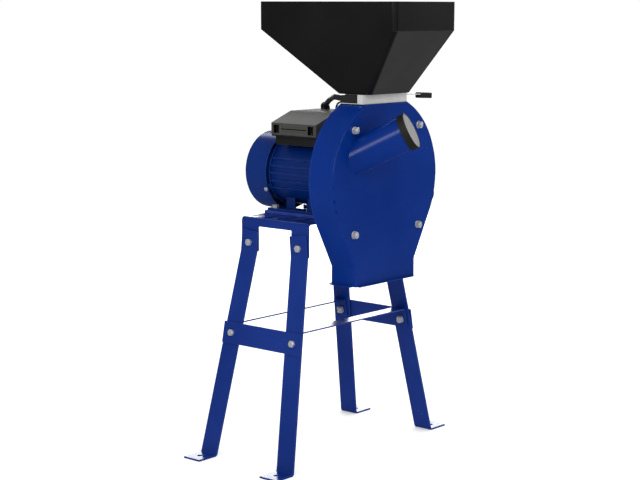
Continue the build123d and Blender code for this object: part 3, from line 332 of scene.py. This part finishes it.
def woundCopper(name):
    f = Finish(name, Metallic=0.85, Coat_Weight=0.5, Coat_Roughness=0.15)
    inputs = {"Vector": f.place, "Scale": 210, "Distortion": 2.0, "Detail": 2}
    turns = f.node("ShaderNodeTexWave", {"wave_type": "RINGS", "rings_direction": "Y"}, inputs)
    resin = f.noise(60, 4).clip(0.45, 0.7)
    wire = turns.mixed(rgba(0.20, 0.055, 0.018), rgba(0.58, 0.22, 0.075))
    f.set("Base Color", (resin * 0.5).mixed(wire, rgba(0.16, 0.045, 0.012)))
    f.set("Roughness", 0.28 + resin * 0.2)
    f.set("Normal", f.bump(turns, 0.0003, 0.7))
    return f.material


finishes = {name: paint(name, s) for name, s in paintSettings.items()}
finishes.update({name: metal(name, s) for name, s in metalSettings.items()})
finishes.update({name: plastic(name, s) for name, s in plasticSettings.items()})
finishes["stackedIron"] = stackedIron("stackedIron")
finishes["woundCopper"] = woundCopper("woundCopper")
print("finishes made:", len(finishes))

finishOfSlot = {
    "stand_paint": "standPaint", "motor_paint": "motorPaint", "drum_paint": "drumPaint",
    "zinc_fasteners": "zinc", "dark_screws": "darkScrew", "gate_sheet": "gateSheet",
    "bearing_steel": "groundSteel", "rotor_steel": "rotorSteel", "hammer_steel": "hammerSteel",
    "sieve_steel": "sieveSteel", "stud_brass": "studBrass",
    "laminations": "stackedIron", "copper": "woundCopper",
    "hopper_plastic": "hopperPlastic", "box_cover_plastic": "boxCover", "box_base_plastic": "boxBase",
    "fan_plastic": "fanPlastic", "grip_plastic": "gripPlastic", "interlock_plastic": "interlockPlastic",
    "cap_rubber": "capRubber", "cap_grey": "capGrey", "lead_sheath": "leadSheath",
    "start_green": "startGreen", "stop_red": "stopRed", "capacitor_shell": "capacitorShell",
}
slotOf = {row["node"]: row["material_slot"] for row in frame["record"]["subparts"]}
finishOfNode = {name: finishOfSlot[slot] for name, slot in slotOf.items()}
# the rails take the lighter copy of the stand paint as a painted highlight
finishOfNode["motor_rails"] = "railPaintedHighlight"


def dress(obj, finish):
    obj.data.materials.clear()
    obj.data.materials.append(finishes[finish])


for name, obj in nodes.items():
    dress(obj, finishOfNode[name])

# ---- mesh helpers ----
sameSpot = 0.000005  # corners nearer than this are one
flatTurn = radians(0.6)  # faces turned less than this are one
sharpTurn = radians(28)  # edges sharper than this are rounded


def finishPiece(bm, nodeName, sharpAngle):
    # makes the object, hides the CAD node it stands for and rides it on that node's body
    mesh = bpy.data.meshes.new(nodeName + "_piece")
    bm.to_mesh(mesh)
    bm.free()
    obj = bpy.data.objects.new(nodeName + "_piece", mesh)
    scene.collection.objects.link(obj)
    dress(obj, finishOfNode[nodeName])
    for face in mesh.polygons:
        face.use_smooth = True
    mesh.set_sharp_from_angle(angle=radians(sharpAngle))
    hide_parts(nodeName)
    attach(obj, bodyOf[nodeName])
    return obj


def softened(nodeName, width):
    # a copy of a CAD node with its sharp edges rounded, and those edges marked for wear and a painted
    # highlight
    bm = bmesh.new()
    bm.from_mesh(nodes[nodeName].data)
    bmesh.ops.remove_doubles(bm, verts=bm.verts, dist=sameSpot)
    bmesh.ops.dissolve_limit(bm, angle_limit=flatTurn, verts=bm.verts, edges=bm.edges)
    edges = [e for e in bm.edges if len(e.link_faces) == 2 and e.calc_face_angle() > sharpTurn]
    made = bmesh.ops.bevel(
        bm, geom=edges, offset=width, offset_type="OFFSET", affect="EDGES",
        segments=2, profile=0.5, material=-1, clamp_overlap=False,
    )
    rub = bm.loops.layers.float.new("rub")
    for face in made["faces"]:
        for loop in face.loops:
            loop[rub] = 1.0
    obj = finishPiece(bm, nodeName, 40)
    weighted = obj.modifiers.new("weighted", "WEIGHTED_NORMAL")
    weighted.keep_sharp = True
    return obj


# width of each rounded edge, in metres
softenedSettings = {
    "stand_top": 0.0007, "leg_front_left": 0.0007, "leg_rear_left": 0.0007, "leg_front_right": 0.0007,
    "leg_rear_right": 0.0007, "end_braces": 0.0006, "side_strip_front": 0.0006,
    "side_strip_rear": 0.0006, "motor_rails": 0.0009, "motor_frame": 0.0005, "front_end_shield": 0.0009,
    "rear_end_shield": 0.0009, "fan_cowl": 0.0004, "housing_back": 0.0006, "housing_rim": 0.0004,
    "front_cover": 0.0003, "cob_tube": 0.0005, "terminal_box_base": 0.0006,
    "terminal_box_cover": 0.0005, "switch_body": 0.0005, "gate_housing": 0.0004, "gate_plate": 0.0004,
    "gate_grip": 0.0006, "hopper": 0.0007, "hammer_1": 0.0004, "hammer_2": 0.0004, "hammer_3": 0.0004,
    "hammer_4": 0.0004, "rotor_hub": 0.0006, "cap_rim": 0.0002, "cap_disc": 0.0004,
    "cable_glands": 0.0005, "interlock_switch": 0.0005, "cooling_fan": 0.0005, "hub_bolt": 0.0004,
    "flange_screws": 0.0003, "sieve_supports": 0.0004,
}
softenedPieces = {nodeName: softened(nodeName, width) for nodeName, width in softenedSettings.items()}
print("sheet pieces softened:", len(softenedSettings))

# painted shade in the recesses of the terminal box cover, in metres from its corners
recessShadeSettings = {
    "rows": (0.015, -0.014),  # screw pockets, from the front and from the rear
    "halfWidth": 0.0079,
    "low": 0.0025,
    "high": 0.0215,
    "depth": 0.0085,
    "grooveHeight": 0.0125,
    "grooveHalf": 0.0012,
}


# paints shade onto the walls of the screw pockets and the side groove of the terminal box cover
def paintRecessShade(obj, s):
    corners = np.array([vert.co for vert in obj.data.vertices])
    low, high = corners.min(axis=0), corners.max(axis=0)
    rows = (low[1] + s["rows"][0], high[1] + s["rows"][1])
    hollow = obj.data.attributes.new("hollow", "FLOAT", "CORNER")
    for face in obj.data.polygons:
        x, y, z = face.center
        deep = min(x - low[0], high[0] - x)
        rise = z - low[2]
        inPocket = min(abs(y - row) for row in rows) < s["halfWidth"] and s["low"] < rise < s["high"]
        inGroove = x - low[0] < 0.002 and abs(rise - s["grooveHeight"]) < s["grooveHalf"]
        if 0.0003 < deep < s["depth"] and inPocket or deep > 0.0008 and inGroove:
            for loop in face.loop_indices:
                hollow.data[loop].value = 1.0


paintRecessShade(softenedPieces["terminal_box_cover"], recessShadeSettings)

# ---- fasteners ----
fastenerSettings = {
    "leg_bolts": {
        "kind": "bolt", "flats": 0.013, "head": 0.0053, "shank": 0.004, "pitch": 0.00125,
        "thread": 0.0105,
    },
    "motor_bolts": {
        "kind": "bolt", "flats": 0.013, "head": 0.0053, "shank": 0.004, "pitch": 0.00125,
        "thread": 0.0105,
    },
    "leg_nuts": {"kind": "nut", "flats": 0.013},
    "motor_nuts": {"kind": "nut", "flats": 0.013, "axis": (0, 0, 1)},
    "cover_nuts": {
        "kind": "washerNut", "flats": 0.013, "washer": 0.0078, "sheet": 0.0016, "axis": (0, 1, 0),
    },
    "cover_studs": {"kind": "stud", "shank": 0.004, "pitch": 0.00125, "axis": (0, 1, 0)},
    "cowl_screws": {"kind": "screw", "reach": 0.0045, "head": 0.0028, "shank": 0.0024, "axis": 2},
    "box_screws": {"kind": "screw", "reach": 0.0034, "head": 0.0026, "shank": 0.0016, "axis": (0, 0, 1)},
    "hopper_rivets": {
        "kind": "rivet", "reach": 0.004, "head": 0.0016, "shank": 0.00215, "tail": 0.0034,
        "axis": (0, 0, 1),
    },
}


def islands(nodeName):
    # the corners of each loose solid of a CAD node
    bm = bmesh.new()
    bm.from_mesh(nodes[nodeName].data)
    bmesh.ops.remove_doubles(bm, verts=bm.verts, dist=sameSpot)
    left = set(bm.verts)
    found = []
    while left:
        front = [left.pop()]
        solid = list(front)
        while front:
            for edge in front.pop().link_edges:
                for vert in edge.verts:
                    if vert in left:
                        left.remove(vert)
                        front.append(vert)
                        solid.append(vert)
        found.append(np.array([vert.co for vert in solid]))
    bm.free()
    return found


def standing(points, axis):
    # a matrix from the solid's foot, its own axis as Z, towards its wider end, and its length
    middle = points.mean(axis=0)
    if isinstance(axis, tuple):
        up = np.array(axis, float)
    else:
        up = np.linalg.svd(points - middle, full_matrices=False)[2][axis]
    along = (points - middle) @ up
    radius = np.linalg.norm(points - middle - np.outer(along, up), axis=1)
    halfway = (along.min() + along.max()) / 2
    if radius[along > halfway].max() < radius[along < halfway].max() - 0.0001:
        up = -up
        along = -along
    far = int(radius.argmax())
    side = Vector(points[far] - middle - along[far] * up).normalized()
    upward = Vector(up).normalized()
    turned = Matrix((side, upward.cross(side), upward)).transposed().to_4x4()
    foot = Vector(middle) + upward * float(along.min())
    return Matrix.Translation(foot) @ turned, float(along.max() - along.min())


def sixSided(angle, flats):
    # reach of a hexagon with a corner at angle 0
    part = (angle + pi / 6) % (pi / 3) - pi / 6
    return flats / 2 / cos(pi / 6 - abs(part))


def turnedSolid(bm, matrix, rings, segments=36):
    # a closed solid through rings of (height, reach at an angle)
    made = bmesh.ops.create_circle(bm, segments=segments, radius=1)
    verts = made["verts"]
    everyVert = list(verts)
    edges = list({edge for vert in verts for edge in vert.link_edges})
    bmesh.ops.edgeloop_fill(bm, edges=edges)
    for number, (height, reach) in enumerate(rings):
        if number:
            made = bmesh.ops.extrude_edge_only(bm, edges=edges)["geom"]
            verts = [g for g in made if isinstance(g, bmesh.types.BMVert)]
            fresh = set(verts)
            edges = [g for g in made if isinstance(g, bmesh.types.BMEdge) and set(g.verts) <= fresh]
            everyVert += verts
        for vert in verts:
            angle = atan2(vert.co.y, vert.co.x)
            size = reach(angle, height) if callable(reach) else reach
            rise = height(angle) if callable(height) else height
            vert.co = (size * cos(angle), size * sin(angle), rise)
    bmesh.ops.edgeloop_fill(bm, edges=edges)
    bmesh.ops.transform(bm, matrix=matrix, verts=everyVert)


chamferReach = 0.475  # round part of a nut's face, as a share of its flats
chamferSlope = 0.577  # 30 degrees


def hexRings(flats, low, high, lowChamfer, highChamfer):
    # a hexagon turned down at its corners, as a nut or a bolt head is
    face = chamferReach * flats

    def reach(angle, height):
        return sixSided(angle, flats)

    def lowered(angle):
        return high - (sixSided(angle, flats) - face) * chamferSlope

    def raised(angle):
        return low + (sixSided(angle, flats) - face) * chamferSlope

    rings = [(low, face), (raised, reach)] if lowChamfer else [(low, reach)]
    return rings + ([(lowered, reach), (high, face)] if highChamfer else [(high, reach)])


def threadRings(start, end, radius, pitch):
    rings = []
    turns = int((end - start) / pitch)
    for turn in range(turns):
        rings.append((start + turn * pitch, radius - 0.55 * pitch))
        rings.append((start + (turn + 0.5) * pitch, radius - 0.02 * pitch))
    return rings


def domeRings(low, reach, rise):
    return [(low + rise * sin(turn * pi / 12), reach * cos(turn * pi / 12)) for turn in range(6)]


def boltRings(s, length):
    neck = length - s["head"]
    thread = threadRings(0.0006, s["thread"], s["shank"], s["pitch"])
    shank = [(0, 0.7 * s["shank"])] + thread + [(s["thread"] + 0.0004, s["shank"]), (neck, s["shank"])]
    return shank + hexRings(s["flats"], neck, length, False, True)


def nutRings(s, length):
    return hexRings(s["flats"], 0, length, True, True)


def washerNutRings(s, length):
    seat = length - s["sheet"]
    reach = s["washer"]
    edge = 0.0003
    washer = [(seat, reach - edge), (seat + edge, reach), (length - edge, reach), (length, reach - edge)]
    return hexRings(s["flats"], 0, seat, True, False) + washer


def studRings(s, length):
    thread = threadRings(0.0006, length - 0.0006, s["shank"], s["pitch"])
    return [(0, 0.7 * s["shank"])] + thread + [(length, 0.7 * s["shank"])]


def screwRings(s, length):
    # a pan head with a hexagon socket
    thick = s["head"]
    neck = length - thick
    reach = s["reach"]

    def socket(angle, height):
        return sixSided(angle, 0.9 * reach)

    shank = [(0, s["shank"]), (neck, s["shank"])]
    side = [(neck, reach), (neck + 0.45 * thick, reach)]
    crown = [(neck + 0.8 * thick, 0.92 * reach), (length, 0.72 * reach)]
    return shank + side + crown + [(length, socket), (length - 0.55 * thick, socket)]


def rivetRings(s, length):
    tail = [(0, 0.8 * s["tail"]), (0.0004, s["tail"]), (0.0012, s["tail"]), (0.0012, s["shank"])]
    neck = length - s["head"]
    return tail + [(neck, s["shank"])] + domeRings(neck, s["reach"], s["head"])


fastenerRings = {
    "bolt": boltRings, "nut": nutRings, "washerNut": washerNutRings,
    "stud": studRings, "screw": screwRings, "rivet": rivetRings,
}


def makeFasteners(nodeName, s):
    bm = bmesh.new()
    for points in islands(nodeName):
        matrix, length = standing(points, s.get("axis", 2 if s["kind"] == "nut" else 0))
        turnedSolid(bm, matrix, fastenerRings[s["kind"]](s, length))
    bmesh.ops.recalc_face_normals(bm, faces=bm.faces)
    finishPiece(bm, nodeName, 32)


for nodeName, s in fastenerSettings.items():
    makeFasteners(nodeName, s)
print("fasteners made:", len(fastenerSettings))

# ---- leads ----
leadSettings = {
    "interlock_lead": {
        "route": [
            (0.074, 0.047, 0.725), (0.052, 0.022, 0.735), (0.024, -0.010, 0.743), (-0.005, -0.040, 0.748),
            (-0.030, -0.064, 0.7515), (-0.050, -0.088, 0.752), (-0.0585, -0.1125, 0.7505),
        ],
        "diameter": 0.012,
        "length": 0.2117,
    },
    "interlock_wire": {
        "route": [
            (-0.0522, -0.1125, 0.7449), (-0.0515, -0.100, 0.7434), (-0.045, -0.084, 0.738),
            (-0.041, -0.077, 0.722), (-0.038, -0.070, 0.706), (-0.0365, -0.060, 0.694),
            (-0.036, -0.056, 0.690),
        ],
        "diameter": 0.004,
        "length": 0.0866,
    },
}


def makeLead(nodeName, s):
    curve = bpy.data.curves.new(nodeName + "_piece", "CURVE")
    curve.dimensions = "3D"
    curve.bevel_depth = s["diameter"] / 2
    curve.bevel_resolution = 6
    curve.resolution_u = 14
    curve.use_fill_caps = True
    spline = curve.splines.new("NURBS")
    spline.points.add(len(s["route"]) - 1)
    for point, spot in zip(spline.points, s["route"]):
        point.co = (*spot, 1)
    spline.order_u = 3
    spline.use_endpoint_u = True
    lead = bpy.data.objects.new(nodeName + "_piece", curve)
    scene.collection.objects.link(lead)
    dress(lead, "leadSheath")
    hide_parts(nodeName)
    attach(lead, "machine")


for nodeName, s in leadSettings.items():
    makeLead(nodeName, s)
print("leads laid")

# ---- floor and light ----


def makeStage():
    bm = bmesh.new()
    bmesh.ops.create_grid(bm, x_segments=1, y_segments=1, size=150)
    mesh = bpy.data.meshes.new("floor")
    bm.to_mesh(mesh)
    bm.free()
    floor = bpy.data.objects.new("floor", mesh)
    scene.collection.objects.link(floor)
    f = Finish("paleFloor", Specular_IOR_Level=0.0, Roughness=0.9, Emission_Strength=0.16)
    tone = f.noise(2, 3).clip(0.3, 0.7).mixed(rgba(0.93, 0.93, 0.93), rgba(0.90, 0.90, 0.90))
    f.set("Base Color", tone)
    f.set("Emission Color", tone)
    mesh.materials.append(f.material)
    floor.visible_glossy = False  # paint beside it keeps its depth


makeStage()


def makeSky():
    # white all round, but dim in the gloss of the paint
    world = bpy.data.worlds.new("studio")
    scene.world = world
    world.use_nodes = True
    tree = world.node_tree
    path = Wire(tree, tree.nodes.new("ShaderNodeLightPath").outputs["Is Glossy Ray"])
    sky = tree.nodes["Background"]
    sky.inputs["Color"].default_value = rgba(1.0, 1.0, 1.0)
    tree.links.new((1.0 - path * 0.93).socket, sky.inputs["Strength"])


makeSky()

lightSettings = {
    "keyLight": {"place": (-1.5, -3.4, 3.2), "aim": (0, -0.1, 0.55), "size": (1.4, 1.4), "watts": 42},
    "sideLight": {"place": (-3.3, -0.25, 1.8), "aim": (0, -0.2, 0.7), "size": (0.45, 1.5), "watts": 24},
    "rightLight": {"place": (3.4, -0.9, 1.8), "aim": (0, -0.1, 0.7), "size": (0.6, 1.6), "watts": 16},
    "lowBackLight": {"place": (3.2, 2.4, 1.1), "aim": (0, 0, 0.6), "size": (2.6, 1.1), "watts": 48},
    "highBackLight": {"place": (1.5, 2.0, 2.9), "aim": (0, 0, 0.7), "size": (1.2, 1.2), "watts": 17},
    "floorLight": {"place": (1.15, -0.55, 0.03), "aim": (1.15, -0.55, 1), "size": (0.9, 0.9), "watts": 2},
}


def makeLight(name, s):
    data = bpy.data.lights.new(name, "AREA")
    data.shape = "RECTANGLE"
    data.size, data.size_y = s["size"]
    data.energy = s["watts"]
    light = bpy.data.objects.new(name, data)
    light.location = s["place"]
    light.rotation_mode = "QUATERNION"
    light.rotation_quaternion = (Vector(s["aim"]) - Vector(s["place"])).to_track_quat("-Z", "Y")
    light.visible_camera = False
    scene.collection.objects.link(light)


for name, s in lightSettings.items():
    makeLight(name, s)
print("stage lit")
